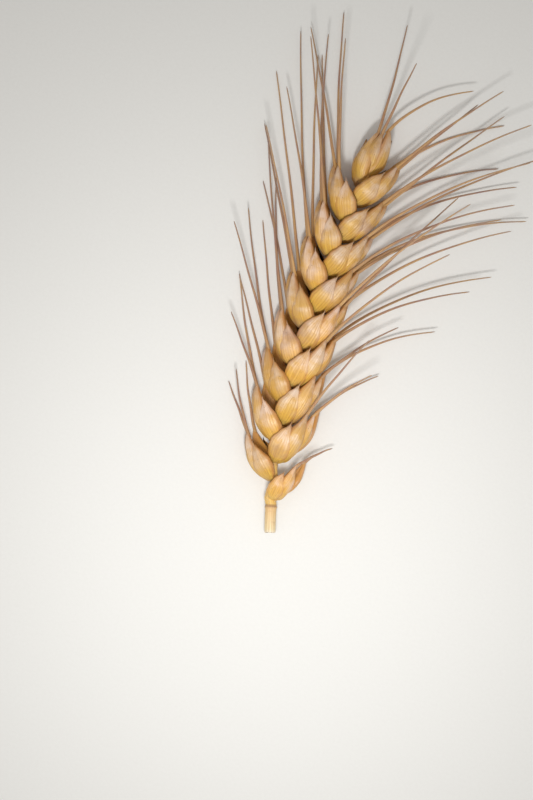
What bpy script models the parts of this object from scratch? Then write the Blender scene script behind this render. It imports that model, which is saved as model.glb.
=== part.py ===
"""A bearded wheat ear, cut with a short stub of its stem and lying on a flat surface.

+Y runs from the cut stem to the ear's tip, +X is to the right as seen from above, +Z is up.
The origin is on the surface, under the middle of the ear's bounding box.
"""

import math
import random

import bmesh
import bpy
import numpy as np

MM = 0.001
DEG = math.pi / 180
UP = np.array([0.0, 0.0, 1.0])
SEED = 11

# Driving sizes of the ear. Its axis is one gentle arc. The right row is rolled up at the foot,
# and the left row at the tip.
AXIS_LENGTH = 87.5 * MM
STUB_LENGTH = 8.3 * MM
INTERNODE = 4.58 * MM
SPIKELETS_IN_ROWS = 17
SIDE_BOW = -8.6 * MM
BOW_HEIGHT = 31.0 * MM
END_SIDE = -1.4 * MM
FLOOR_TO_AXIS = 6.4 * MM
AXIS_RISE = -1.55 * MM
ROLL_AT_FOOT = -21 * DEG
ROLL_AT_TIP = 8 * DEG
ROLL_EASE = 2.2
ARC_STEPS = 400

# Stem and rachis
STEM_RADIUS = 1.3 * MM
COLLAR_SWELLING = 1.14
RACHIS_HALF_WIDTH = 0.85 * MM
RACHIS_HALF_THICKNESS = 0.55 * MM
RACHIS_ZIGZAG = 0.45 * MM
RACHIS_TAPER = (1.15, 0.8)
NODE_SWELLING = 1.25
STEM_SIDES = 8

# Spikelets, and how the sizes of the lowest ones and of the topmost one compare with the full size.
# The lowest three also lean out further, the lowest of them the most.
DIVERGENCE = 20.5 * DEG
LOWEST_LEAN = 8 * DEG
LEANING_OUT = 3
SEAT_OFFSET = 1.45 * MM
SIZE_SCATTER = 0.015
ANGLE_SCATTER = 1.5 * DEG
LOWEST_SIZES = (0.70, 0.84, 0.94)
FULL_SIZE = 0.96
TOP_ROW_SIZE = 0.9
NARROWING_FROM = 9
END_SIZE = 0.92
END_SPREAD = 0.3
END_SINK = 1.4 * MM
THREE_FLORETS_FROM = 0.8

# A husk is a plump pointed scale
HUSK_SIDES = 6
HUSK_STATIONS = (0.0, 0.15, 0.38, 0.62, 0.83, 1.0)
BASE_SHARE = 0.50
TIP_SHARE = 0.15
WIDTH_PEAK, WIDTH_FULLNESS = 0.68, 0.86
DEPTH_PEAK, DEPTH_FULLNESS = 0.72, 0.85
INNER_SHARE = 0.4
ARCH_SHARE = 0.07

# Husks of a spikelet: a glume is an outer scale, a floret is a lemma closed round its grain.
# tilt turns the husk to the front or the back, lean turns it outwards, facing turns its back from
# outwards to the front, and foot is the place of its base along, to the front and outwards.
RACHILLA = {
    "kind": "rachilla", "tilt": 0.0, "lean": 2 * DEG, "facing": 0.0,
    "foot": (-0.2 * MM, 0.0, -0.2 * MM), "length": 5.4 * MM, "width": 2.7 * MM, "depth": 1.5 * MM,
}
LOWER_GLUME = {
    "kind": "glume", "tilt": 14 * DEG, "lean": 0.0, "facing": 76 * DEG,
    "foot": (-0.2 * MM, 2.0 * MM, -1.3 * MM), "length": 10.2 * MM, "width": 5.8 * MM, "depth": 1.6 * MM,
}
UPPER_GLUME = {**LOWER_GLUME, "foot": (2.0 * MM, 1.9 * MM, -0.9 * MM), "width": 5.2 * MM}
LOWER_FLORET = {
    "kind": "floret", "tilt": 9 * DEG, "lean": 3 * DEG, "facing": 56 * DEG,
    "foot": (0.6 * MM, 1.1 * MM, -0.1 * MM), "length": 13.4 * MM, "width": 5.0 * MM, "depth": 2.2 * MM,
}
UPPER_FLORET = {**LOWER_FLORET, "foot": (2.4 * MM, 1.1 * MM, -0.3 * MM)}
TOP_FLORET = {
    "kind": "floret", "tilt": 2 * DEG, "lean": 6 * DEG, "facing": 24 * DEG,
    "foot": (3.2 * MM, 0.4 * MM, 0.3 * MM), "length": 11.2 * MM, "width": 4.2 * MM, "depth": 1.8 * MM,
}

# Awns. The reaches are for the lowest spikelet, the longest one and the topmost one of a side.
AWN_SIDES = 3
AWN_STEPS = 7
AWN_BASE_RADIUS = 0.42 * MM
AWN_TIP_RADIUS = 0.2 * MM
AWN_ROOT = 1.2 * MM
AWN_GAP = 0.4 * MM
LEAST_GAP = 0.1 * MM
AWN_FLOOR_GAP = 0.3 * MM
FLOOR_EASE = 1.0 * MM
AWN_DRAWS = 80
RIGHT_REACHES = (8 * MM, 48 * MM, 26 * MM)
LEFT_REACHES = (8 * MM, 48 * MM, 40 * MM)
LONGEST_PLACE = 9
REACH_SCATTER = (0.72, 1.1)
SPLAY_RIGHT = (30 * DEG, 70 * DEG)
SPLAY_LEFT = (8 * DEG, 46 * DEG)
ROUND_SCATTER = 20 * DEG
FLATTENING = 0.4
FIRST_BEND = 0.35

STRAW = (0.62, 0.40, 0.13, 1.0)
STEM_STRAW = (0.70, 0.50, 0.24, 1.0)
SHARP_ANGLE = 35 * DEG


def unit(vector):
    return vector / np.linalg.norm(vector)


def mix(low, high, share):
    return low + (high - low) * share


def arc_point(t):
    """Point of the axis, a quadratic curve from the cut end to the rachis's top, at parameter t."""
    side = 2 * t * (1 - t) * SIDE_BOW + t * t * END_SIDE
    along = 2 * t * (1 - t) * BOW_HEIGHT + t * t * AXIS_LENGTH
    return np.array([side, along, FLOOR_TO_AXIS + AXIS_RISE * t])


ARC_T = np.linspace(0, 1, ARC_STEPS + 1)
ARC_POINTS = np.array([arc_point(t) for t in ARC_T])
ARC_LENGTHS = np.concatenate([[0], np.cumsum(np.linalg.norm(np.diff(ARC_POINTS, axis=0), axis=1))])


def axis_frame(length):
    """Place on the axis, with the directions along it, of the right row and of the front."""
    t = np.interp(length, ARC_LENGTHS, ARC_T)
    along = unit(arc_point(t + 1 / ARC_STEPS) - arc_point(t - 1 / ARC_STEPS))
    right = unit(np.cross(along, UP))
    up = np.cross(right, along)
    roll = mix(ROLL_AT_FOOT, ROLL_AT_TIP, t ** ROLL_EASE)
    row = math.cos(roll) * right - math.sin(roll) * up
    front = math.sin(roll) * right + math.cos(roll) * up
    return arc_point(t), along, row, front


def axis_beside(point):
    """Place on the axis, its direction and its right, beside a point of the ear."""
    centre, along, _, _ = axis_frame(np.interp(point[1], ARC_POINTS[:, 1], ARC_LENGTHS))
    return centre, along, unit(np.cross(along, UP))


def turned(direction, towards, angle):
    """The direction, turned by the angle towards another one at right angles to it."""
    return unit(math.cos(angle) * direction + math.sin(angle) * towards)


def across_to(direction, axis):
    """The direction without its share along the axis."""
    return unit(direction - axis * np.dot(direction, axis))


def outline(t, peak, fullness):
    """Share of the full width at t: narrow at the base, full before the middle, thin at the tip."""
    rounded = math.sin(math.pi * t ** peak) ** fullness if 0 < t < 1 else 0.0
    least = mix(BASE_SHARE, TIP_SHARE, t)
    return least + (1 - least) * rounded


def husk_centre(husk, t):
    """Middle of the husk at share t of its length."""
    arch = ARCH_SHARE * husk["length"] * math.sin(math.pi * t)
    return husk["base"] + husk["along"] * husk["length"] * t + husk["dorsal"] * arch


def husk_half_width(husk, t):
    return husk["width"] / 2 * outline(t, WIDTH_PEAK, WIDTH_FULLNESS)


def husk_ring(husk, t):
    across = np.cross(husk["along"], husk["dorsal"])
    depth = husk["depth"] * outline(t, DEPTH_PEAK, DEPTH_FULLNESS)
    centre = husk_centre(husk, t)
    ring = []
    for i in range(HUSK_SIDES):
        angle = math.pi / 2 + 2 * math.pi * i / HUSK_SIDES
        rise = math.sin(angle)
        height = depth * rise if rise > 0 else depth * rise * INNER_SHARE
        sideways = husk_half_width(husk, t) * math.cos(angle)
        ring.append(centre + across * sideways + husk["dorsal"] * height)
    return ring


def make_husk(form, spikelet, side=1, wobble=0.0):
    """A husk of the form in its spikelet, at the front (side 1) or at the back (side -1)."""
    scale = spikelet["size"]
    along = turned(spikelet["along"], spikelet["front"], side * form["tilt"] * spikelet["spread"] + wobble)
    along = turned(along, spikelet["out"], form["lean"])
    facing = side * form["facing"]
    dorsal = math.cos(facing) * spikelet["out"] + math.sin(facing) * spikelet["front"]
    ahead, frontwards, outwards = form["foot"]
    base = (
        spikelet["base"]
        + spikelet["along"] * ahead * scale
        + spikelet["front"] * side * frontwards * mix(1.0, spikelet["spread"], 0.7) * scale
        + spikelet["out"] * outwards * scale
    )
    return {
        "kind": form["kind"],
        "base": base,
        "along": along,
        "dorsal": across_to(dorsal, along),
        "length": form["length"] * scale,
        "width": form["width"] * scale,
        "depth": form["depth"] * scale,
    }


def spikelet_husks(spikelet, draw):
    """A short inner stalk, two glumes at the sides, a floret inside each, and on the larger
    spikelets a third floret between and above them."""
    husks = [make_husk(RACHILLA, spikelet)]
    for side, glume, floret in ((1, LOWER_GLUME, LOWER_FLORET), (-1, UPPER_GLUME, UPPER_FLORET)):
        wobble = draw.uniform(-ANGLE_SCATTER, ANGLE_SCATTER)
        husks.append(make_husk(glume, spikelet, side, wobble))
        husks.append(make_husk(floret, spikelet, side, wobble))
    if spikelet["size"] > THREE_FLORETS_FROM:
        wobble = draw.uniform(-ANGLE_SCATTER, ANGLE_SCATTER)
        husks.append(make_husk(TOP_FLORET, spikelet, 1, wobble))
    return husks


def spikelet_size(index):
    """Full size in the middle, smaller in the lowest ones and towards the tip."""
    if index < len(LOWEST_SIZES):
        return LOWEST_SIZES[index]
    beyond = (index - NARROWING_FROM) / (SPIKELETS_IN_ROWS - 1 - NARROWING_FROM)
    return mix(FULL_SIZE, TOP_ROW_SIZE, max(0.0, beyond))


def row_spikelet(index, draw):
    """A spikelet of the two rows. The lowest sits on the right, and they take turns upwards."""
    side = 1 if index % 2 == 0 else -1
    centre, along, row, front = axis_frame(STUB_LENGTH + index * INTERNODE)
    out = side * row
    lean = DIVERGENCE + LOWEST_LEAN * max(0.0, 1 - index / LEANING_OUT)
    lean += draw.uniform(-ANGLE_SCATTER, ANGLE_SCATTER)
    front_lean = draw.uniform(-ANGLE_SCATTER, ANGLE_SCATTER)
    size = spikelet_size(index) * draw.uniform(1 - SIZE_SCATTER, 1 + SIZE_SCATTER)
    direction = turned(turned(along, out, lean), front, front_lean)
    outwards = across_to(out, direction)
    spikelet = {
        "name": f"spikelet_{'right' if side > 0 else 'left'}_{index // 2 + 1:02d}",
        "base": centre + out * SEAT_OFFSET,
        "along": direction,
        "out": outwards,
        "front": across_to(across_to(front, direction), outwards),
        "size": size,
        "spread": 1.0,
        "reaches": RIGHT_REACHES if side > 0 else LEFT_REACHES,
    }
    spikelet["husks"] = spikelet_husks(spikelet, draw)
    return spikelet


def end_spikelet(draw):
    """The spikelet at the tip, a quarter turn from the rows, so that it fans from side to side."""
    centre, along, row, front = axis_frame(ARC_LENGTHS[-1])
    spikelet = {
        "name": "spikelet_terminal",
        "base": centre - along * END_SINK,
        "along": along,
        "out": front,
        "front": -row,
        "size": END_SIZE,
        "spread": END_SPREAD,
        "reaches": RIGHT_REACHES,
    }
    spikelet["husks"] = spikelet_husks(spikelet, draw)
    return spikelet


def above_floor(point):
    """The point, eased up where it would come lower than the least height of an awn."""
    over = point[2] - AWN_FLOOR_GAP
    raised = AWN_FLOOR_GAP + (over + math.sqrt(over * over + FLOOR_EASE * FLOOR_EASE)) / 2
    return np.array([point[0], point[1], raised])


def awn_path(start, first, last, length):
    """Points of an awn that leaves in one direction and curves evenly into another."""
    points = [start]
    for i in range(AWN_STEPS):
        share = ((i + 0.5) / AWN_STEPS) ** 0.8
        points.append(points[-1] + unit(mix(first, last, share)) * length / AWN_STEPS)
    root = np.array([start[0], start[1], max(start[2], AWN_FLOOR_GAP)])
    return np.array([root] + [above_floor(point) for point in points[1:]])


def spheres_of_husk(husk):
    """Pairs of spheres side by side along the husk, about as thick as it is: rows of x, y, z, r."""
    across = np.cross(husk["along"], husk["dorsal"])
    spheres = []
    for t in np.linspace(0, 1, 8):
        centre = husk_centre(husk, t) + husk["dorsal"] * husk["depth"] * 0.3
        half_width = husk_half_width(husk, t)
        for side in (1, -1):
            spheres.append([*(centre + across * side * 0.36 * half_width), 0.64 * half_width])
    return np.array(spheres)


def spheres_of_awn(path):
    """Spheres along the free part of an awn: rows of x, y, z, r."""
    dense = np.concatenate([np.linspace(a, b, 8)[:-1] for a, b in zip(path, path[1:])] + [path[-1:]])
    radii = np.linspace(AWN_BASE_RADIUS, AWN_TIP_RADIUS, len(dense))
    free = np.linalg.norm(dense - path[0], axis=1) > 1.5 * AWN_ROOT
    return np.column_stack([dense, radii])[free]


def room_between(one, other):
    """The least gap between two sets of spheres."""
    apart = np.linalg.norm(one[:, None, :3] - other[None, :, :3], axis=2)
    return (apart - one[:, None, 3] - other[None, :, 3]).min()


def awn_reach(place, reaches):
    """Length of an awn on the spikelet at that place from below."""
    lowest, longest, topmost = reaches
    if place < LONGEST_PLACE:
        return mix(lowest, longest, (place / LONGEST_PLACE) ** 0.7)
    beyond = (place - LONGEST_PLACE) / (SPIKELETS_IN_ROWS - LONGEST_PLACE)
    return mix(longest, topmost, beyond ** 1.5)


def draw_awn(husk, draw, reach):
    """A drawn awn. It leans away from the ear on the side that its husk's tip is on."""
    root = husk_centre(husk, 1.0) - husk["along"] * AWN_ROOT
    centre, along, right = axis_beside(root)
    sideways, upwards = np.dot(root - centre, right), root[2] - centre[2]
    round_angle = math.atan2(FLATTENING * upwards, sideways) + draw.uniform(-ROUND_SCATTER, ROUND_SCATTER)
    away = math.cos(round_angle) * right + math.sin(round_angle) * UP
    splay = draw.uniform(*(SPLAY_RIGHT if away[0] > 0 else SPLAY_LEFT))
    last = turned(along, away, splay)
    first = unit(husk["along"] + FIRST_BEND * last)
    return awn_path(root, first, last, reach * draw.uniform(*REACH_SCATTER))


def grow_awns(spikelets, draw):
    """Gives every floret an awn that keeps clear of the other spikelets and of their awns."""
    grown = {s["name"]: [] for s in spikelets}
    taken = {s["name"]: [spheres_of_husk(h) for h in s["husks"]] for s in spikelets}
    for place, spikelet in enumerate(spikelets):
        own = spikelet["name"]
        reach = awn_reach(place, spikelet["reaches"])
        others = np.concatenate([spheres for name in taken if name != own for spheres in taken[name]])
        for husk in spikelet["husks"]:
            if husk["kind"] != "floret":
                continue
            best_room, best_path = -1.0, None
            for _ in range(AWN_DRAWS):
                path = draw_awn(husk, draw, reach)
                room = room_between(spheres_of_awn(path), others)
                if room > best_room:
                    best_room, best_path = room, path
                if room > AWN_GAP:
                    break
            if best_room > LEAST_GAP:
                grown[own].append(best_path)
                taken[own].append(spheres_of_awn(best_path))
    return grown


def awn_rings(path):
    """Three-sided rings along the awn, from its root to its tip."""
    rings = []
    for i, point in enumerate(path):
        along = unit(path[min(i + 1, len(path) - 1)] - path[max(i - 1, 0)])
        across = unit(np.cross(along, UP))
        over = np.cross(across, along)
        radius = mix(AWN_BASE_RADIUS, AWN_TIP_RADIUS, i / (len(path) - 1))
        ring = []
        for k in range(AWN_SIDES):
            angle = math.pi / 2 + 2 * math.pi * k / AWN_SIDES
            ring.append(point + radius * (across * math.cos(angle) + over * math.sin(angle)))
        rings.append(ring)
    return rings


def tube(name, rings):
    """A closed object through rings of points that turn left round the way they run."""
    mesh = bmesh.new()
    loops = [[mesh.verts.new(point) for point in ring] for ring in rings]
    for low, high in zip(loops, loops[1:]):
        for i in range(len(low)):
            j = (i + 1) % len(low)
            mesh.faces.new((low[i], low[j], high[j], high[i]))
    mesh.faces.new(loops[0][::-1])
    mesh.faces.new(loops[-1])
    bmesh.ops.recalc_face_normals(mesh, faces=mesh.faces)
    bmesh.ops.triangulate(mesh, faces=mesh.faces)
    data = bpy.data.meshes.new(name)
    mesh.to_mesh(data)
    mesh.free()
    thing = bpy.data.objects.new(name, data)
    bpy.context.scene.collection.objects.link(thing)
    return thing


def joined(name, pieces):
    """One object of the pieces, by a Boolean union that is applied."""
    body = pieces[0]
    body.name = name
    collection = bpy.data.collections.new(name + "_pieces")
    bpy.context.scene.collection.children.link(collection)
    for piece in pieces[1:]:
        bpy.context.scene.collection.objects.unlink(piece)
        collection.objects.link(piece)
    union = body.modifiers.new("union", "BOOLEAN")
    union.operation = "UNION"
    union.operand_type = "COLLECTION"
    union.collection = collection
    union.solver = "EXACT"
    graph = bpy.context.evaluated_depsgraph_get()
    fused = bpy.data.meshes.new_from_object(body.evaluated_get(graph))
    body.modifiers.clear()
    body.data = fused
    for piece in pieces[1:]:
        bpy.data.objects.remove(piece)
    bpy.data.collections.remove(collection)
    return body


def cut_on_floor(thing):
    """Takes off what is under the surface, which leaves small flat spots that the ear lies on."""
    mesh = bmesh.new()
    mesh.from_mesh(thing.data)
    everything = mesh.verts[:] + mesh.edges[:] + mesh.faces[:]
    bmesh.ops.bisect_plane(mesh, geom=everything, plane_co=(0, 0, 0), plane_no=(0, 0, -1), clear_outer=True)
    rims = [edge for edge in mesh.edges if edge.is_boundary]
    bmesh.ops.holes_fill(mesh, edges=rims, sides=0)
    bmesh.ops.triangulate(mesh, faces=mesh.faces)
    mesh.to_mesh(thing.data)
    mesh.free()


def finish(thing, material):
    thing.data.materials.clear()
    thing.data.materials.append(material)
    thing.data.shade_smooth()
    thing.data.set_sharp_from_angle(angle=SHARP_ANGLE)


def make_spikelet(spikelet, awns, material):
    pieces = [tube("husk", [husk_ring(husk, t) for t in HUSK_STATIONS]) for husk in spikelet["husks"]]
    pieces += [tube("awn", awn_rings(path)) for path in awns]
    body = joined(spikelet["name"], pieces)
    cut_on_floor(body)
    finish(body, material)
    return body


def stem_sections():
    """Rings of the stub with its collar and of the zigzag rachis: length, shift and half sizes."""
    collar = STEM_RADIUS * COLLAR_SWELLING
    sections = [
        (0.0, 0.0, STEM_RADIUS, STEM_RADIUS),
        (STUB_LENGTH - 2.6 * MM, 0.0, STEM_RADIUS, STEM_RADIUS),
        (STUB_LENGTH - 2.1 * MM, 0.0, collar, collar),
        (STUB_LENGTH - 1.6 * MM, 0.0, STEM_RADIUS, STEM_RADIUS * 0.9),
    ]
    for index in range(SPIKELETS_IN_ROWS):
        side = 1 if index % 2 == 0 else -1
        shift = -side * RACHIS_ZIGZAG
        place = STUB_LENGTH + index * INTERNODE
        taper = mix(*RACHIS_TAPER, index / SPIKELETS_IN_ROWS)
        wide, thick = RACHIS_HALF_WIDTH * taper, RACHIS_HALF_THICKNESS * taper
        sections.append((place, shift, wide * NODE_SWELLING, thick))
        sections.append((place + 0.4 * INTERNODE, shift * 0.2, wide * 0.85, thick))
    sections.append((ARC_LENGTHS[-1] - END_SINK - 0.6 * MM, 0.0, 0.8 * MM, 0.5 * MM))
    return sections


def section_ring(length, shift, half_width, half_thickness):
    centre, _, row, front = axis_frame(length)
    ring = []
    for i in range(STEM_SIDES):
        angle = 2 * math.pi * (i + 0.5) / STEM_SIDES
        across = half_thickness * math.cos(angle) + shift
        ring.append(centre + row * across + front * half_width * math.sin(angle))
    return ring


def make_stem(material):
    stem = tube("stem_and_rachis", [section_ring(*section) for section in stem_sections()])
    finish(stem, material)
    return stem


def plain_material(name, colour, roughness):
    material = bpy.data.materials.new(name)
    material.use_nodes = True
    shader = material.node_tree.nodes["Principled BSDF"]
    shader.inputs["Base Color"].default_value = colour
    shader.inputs["Roughness"].default_value = roughness
    shader.inputs["Metallic"].default_value = 0.0
    return material


def centre_on_origin(things):
    """Moves every mesh alike, so that the origin is under the middle of the bounding box."""
    corners = np.array([vertex.co for thing in things for vertex in thing.data.vertices])
    low, high = corners.min(axis=0), corners.max(axis=0)
    for thing in things:
        for vertex in thing.data.vertices:
            vertex.co.x -= (low[0] + high[0]) / 2
            vertex.co.y -= (low[1] + high[1]) / 2
            vertex.co.z -= low[2]


def main():
    for thing in list(bpy.data.objects):
        bpy.data.objects.remove(thing)
    draw = random.Random(SEED)
    husk_material = plain_material("husk_straw", STRAW, 0.45)
    stem_material = plain_material("stem_straw", STEM_STRAW, 0.5)
    spikelets = [row_spikelet(index, draw) for index in range(SPIKELETS_IN_ROWS)]
    spikelets.append(end_spikelet(draw))
    awns = grow_awns(spikelets, draw)
    things = [make_stem(stem_material)]
    things += [make_spikelet(spikelet, awns[spikelet["name"]], husk_material) for spikelet in spikelets]
    centre_on_origin(things)


main()
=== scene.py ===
"""Looks of the bearded wheat ear: fine husks, awns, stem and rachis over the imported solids, on a
pale paper floor, seen from straight above.

The layout of the ear, its sizes and its random draws are the same as in the solids' source, so
each fine piece lies where its solid does.
"""

import math
import random

import bmesh
import bpy
import numpy as np
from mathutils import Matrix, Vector

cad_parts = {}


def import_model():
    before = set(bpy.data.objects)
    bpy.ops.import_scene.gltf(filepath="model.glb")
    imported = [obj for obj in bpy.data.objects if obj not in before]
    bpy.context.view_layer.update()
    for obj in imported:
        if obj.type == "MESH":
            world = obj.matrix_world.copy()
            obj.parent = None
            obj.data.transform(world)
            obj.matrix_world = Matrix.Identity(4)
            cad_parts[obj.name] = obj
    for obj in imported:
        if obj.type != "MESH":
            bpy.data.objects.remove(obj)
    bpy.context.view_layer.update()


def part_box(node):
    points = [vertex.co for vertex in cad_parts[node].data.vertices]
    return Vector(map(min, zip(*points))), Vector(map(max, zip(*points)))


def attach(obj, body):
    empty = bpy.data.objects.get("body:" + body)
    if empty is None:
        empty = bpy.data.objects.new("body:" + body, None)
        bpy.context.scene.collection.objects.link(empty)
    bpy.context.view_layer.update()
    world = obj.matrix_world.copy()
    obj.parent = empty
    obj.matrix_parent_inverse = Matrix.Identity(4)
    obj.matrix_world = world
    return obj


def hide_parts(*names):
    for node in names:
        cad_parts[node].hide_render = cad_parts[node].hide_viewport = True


MM = 0.001
DEG = math.pi / 180
UP = np.array([0.0, 0.0, 1.0])
SEED = 11
FINE_SEED = 23

# Driving sizes of the ear. Its axis is one gentle arc. The right row is rolled up at the foot,
# and the left row at the tip.
AXIS_LENGTH = 87.5 * MM
STUB_LENGTH = 8.3 * MM
INTERNODE = 4.58 * MM
SPIKELETS_IN_ROWS = 17
SIDE_BOW = -8.6 * MM
BOW_HEIGHT = 31.0 * MM
END_SIDE = -1.4 * MM
FLOOR_TO_AXIS = 6.4 * MM
AXIS_RISE = -1.55 * MM
ROLL_AT_FOOT = -21 * DEG
ROLL_AT_TIP = 8 * DEG
ROLL_EASE = 2.2
ARC_STEPS = 400

# Stem and rachis. The collar's places are lengths below the lowest node, and a neck is the narrow
# part above each node.
STEM_RADIUS = 1.3 * MM
STEM_NARROWING = 0.9
COLLAR_SWELLING = 1.14
COLLAR_FROM, COLLAR_MIDDLE, COLLAR_UNTIL = 2.6 * MM, 2.1 * MM, 1.6 * MM
NECK_PLACE, NECK_SHIFT, NECK_WIDTH = 0.4, 0.2, 0.85
RACHIS_HALF_WIDTH = 0.85 * MM
RACHIS_HALF_THICKNESS = 0.55 * MM
RACHIS_ZIGZAG = 0.45 * MM
RACHIS_TAPER = (1.15, 0.8)
NODE_SWELLING = 1.25
TOP_END = 0.6 * MM
TOP_HALF_WIDTH, TOP_HALF_THICKNESS = 0.8 * MM, 0.5 * MM
STEM_SIDES = 8

# Spikelets, and how the sizes of the lowest ones and of the topmost one compare with the full size.
# The lowest three also lean out further, the lowest of them the most.
DIVERGENCE = 20.5 * DEG
LOWEST_LEAN = 8 * DEG
LEANING_OUT = 3
SEAT_OFFSET = 1.45 * MM
SIZE_SCATTER = 0.015
ANGLE_SCATTER = 1.5 * DEG
LOWEST_SIZES = (0.70, 0.84, 0.94)
FULL_SIZE = 0.96
TOP_ROW_SIZE = 0.9
NARROWING_FROM = 9
END_SIZE = 0.92
END_SPREAD = 0.3
FOOT_SPREAD = 0.7
END_SINK = 1.4 * MM
THREE_FLORETS_FROM = 0.8

# A husk is a plump pointed scale
BASE_SHARE = 0.50
TIP_SHARE = 0.15
WIDTH_PEAK, WIDTH_FULLNESS = 0.68, 0.86
DEPTH_PEAK, DEPTH_FULLNESS = 0.72, 0.85
INNER_SHARE = 0.4
ARCH_SHARE = 0.07

# Husks of a spikelet: a glume is an outer scale, a floret is a lemma closed round its grain.
# tilt turns the husk to the front or the back, lean turns it outwards, facing turns its back from
# outwards to the front, and foot is the place of its base along, to the front and outwards.
RACHILLA = {
    "kind": "rachilla", "tilt": 0.0, "lean": 2 * DEG, "facing": 0.0,
    "foot": (-0.2 * MM, 0.0, -0.2 * MM), "length": 5.4 * MM, "width": 2.7 * MM, "depth": 1.5 * MM,
}
LOWER_GLUME = {
    "kind": "glume", "tilt": 14 * DEG, "lean": 0.0, "facing": 76 * DEG,
    "foot": (-0.2 * MM, 2.0 * MM, -1.3 * MM), "length": 10.2 * MM, "width": 5.8 * MM, "depth": 1.6 * MM,
}
UPPER_GLUME = {**LOWER_GLUME, "foot": (2.0 * MM, 1.9 * MM, -0.9 * MM), "width": 5.2 * MM}
LOWER_FLORET = {
    "kind": "floret", "tilt": 9 * DEG, "lean": 3 * DEG, "facing": 56 * DEG,
    "foot": (0.6 * MM, 1.1 * MM, -0.1 * MM), "length": 13.4 * MM, "width": 5.0 * MM, "depth": 2.2 * MM,
}
UPPER_FLORET = {**LOWER_FLORET, "foot": (2.4 * MM, 1.1 * MM, -0.3 * MM)}
TOP_FLORET = {
    "kind": "floret", "tilt": 2 * DEG, "lean": 6 * DEG, "facing": 24 * DEG,
    "foot": (3.2 * MM, 0.4 * MM, 0.3 * MM), "length": 11.2 * MM, "width": 4.2 * MM, "depth": 1.8 * MM,
}

# Awns. The reaches are for the lowest spikelet, the longest one and the topmost one of a side.
AWN_STEPS = 7
AWN_BASE_RADIUS = 0.42 * MM
AWN_TIP_RADIUS = 0.2 * MM
AWN_ROOT = 1.2 * MM
AWN_GAP = 0.4 * MM
LEAST_GAP = 0.1 * MM
AWN_FLOOR_GAP = 0.3 * MM
FLOOR_EASE = 1.0 * MM
AWN_DRAWS = 80
RIGHT_REACHES = (8 * MM, 48 * MM, 26 * MM)
LEFT_REACHES = (8 * MM, 48 * MM, 40 * MM)
LONGEST_PLACE = 9
REACH_SCATTER = (0.72, 1.1)
SPLAY_RIGHT = (30 * DEG, 70 * DEG)
SPLAY_LEFT = (8 * DEG, 46 * DEG)
ROUND_SCATTER = 20 * DEG
FLATTENING = 0.4
FIRST_BEND = 0.35
BEND_EASE = 0.8
REACH_RISE, REACH_FALL = 0.7, 1.5

# Spheres that stand for husks and awns while an awn looks for room
SPHERE_STEPS = 8
SPHERE_LIFT = 0.3
SPHERE_PLACE, SPHERE_SHARE = 0.36, 0.64
AWN_FREE_FROM = 1.5 * AWN_ROOT

# Fine husks. Places and spreads are shares of the half width or, with ALONG, of the length.
ROUND_STEPS = 40
LONG_STEPS = 50
CLAW_SHARE = 0.14
CLAW_SINK = 0.5 * MM
LEAST_CLAW = 0.02
TIP_SHARPENING = 0.42
KEEL_HEIGHT = 0.30 * MM
NERVE_HEIGHT = 0.045 * MM
FLOOR_SKIN = 0.02 * MM

# Lemmas
LEMMA_SKEW = 0.05
LEMMA_KEEL_SPREAD = 0.13
LEMMA_KEEL_LOW, LEMMA_KEEL_GAIN = 0.15, 0.75
LEMMA_NERVES = 3.4
LEMMA_RIPPLE = 0.06 * MM
DIMPLE_DEPTH = 0.14 * MM
DIMPLE_ALONG, DIMPLE_ALONG_SPREAD = 0.72, 0.12
DIMPLE_PLACE, DIMPLE_SPREAD = 0.5, 0.25
PALEA_GROOVE = 0.25 * MM
PALEA_SPREAD = 0.30
SLIT_PLACE, SLIT_SPREAD = -0.16, 0.10
SLIT_DEPTH = 0.22 * MM
SLIT_NARROWING = 0.16

# Glumes
GLUME_SKIN = 0.16 * MM
GLUME_WRAP = 16 * DEG
GLUME_LIFT = 0.35 * MM
GLUME_NERVES = 4.3
GLUME_RIPPLE = 0.08 * MM
EDGE_SKIN_SHARE = 0.35
KEEL_PLACE, GLUME_KEEL_SPREAD = 0.12, 0.10
TIP_FLARE = 0.55 * MM
SHOULDER_ALONG, SHOULDER_ALONG_SPREAD = 0.80, 0.10
SHOULDER_SWELLING = 0.22
BEAK_SHARE, BEAK_SPREAD = 0.13, 0.28

# Fine awns
FINE_TIP_RADIUS = 0.14 * MM
AWN_ROUND_STEPS = 9
AWN_ROW_LENGTH = 1.1 * MM
LEAST_AWN_ROWS = 14
AWN_TAPER = 0.75
AWN_END_SHARE = 0.35
AWN_RIB_SHARE = 0.12
AWN_SWAY = 0.07 * MM
BARB_SPACING = 0.5 * MM
BARB_LENGTH = 0.30 * MM
BARB_RISE = 0.09 * MM
BARBS_FROM, BARBS_UNTIL = 0.10, 0.985
BARB_DEPTH_SHARE, BARB_HALF_WIDTH = 0.85, 0.35

# Fine stem. The bore's rings are its length in, its share of the radius and its share of the tear.
STEM_ROUND_STEPS = 72
STUB_ROWS, RACHIS_ROWS = 40, 260
STOUT_HALF = 1.3 * MM
STOUT_UNTIL = STUB_LENGTH + 2.2 * MM
STEM_RIBS = 18
RIB_SHARE = 0.035
BORE_RINGS = ((2.4 * MM, 0.25, 0.0), (2.0 * MM, 0.62, 0.0), (0.0, 0.66, 0.8))
TORN_DEPTH = 0.22 * MM
TORN_LENGTH = 1.2 * MM
TORN_BLEND = 0.4
HAIRS_AT_NODE = 46
HAIR_RADIUS = 0.035 * MM
HAIR_SINK = 0.03 * MM
HAIR_LENGTHS = (0.45 * MM, 1.0 * MM)
HAIR_UPWARDS, HAIR_SIDEWAYS = (0.3, 1.2), 0.4
HAIR_SPREAD_ALONG, HAIR_SPREAD_ROUND = 0.16, 0.45
HAIR_CORNERS = (0.0, 2.1, 4.2)
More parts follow.
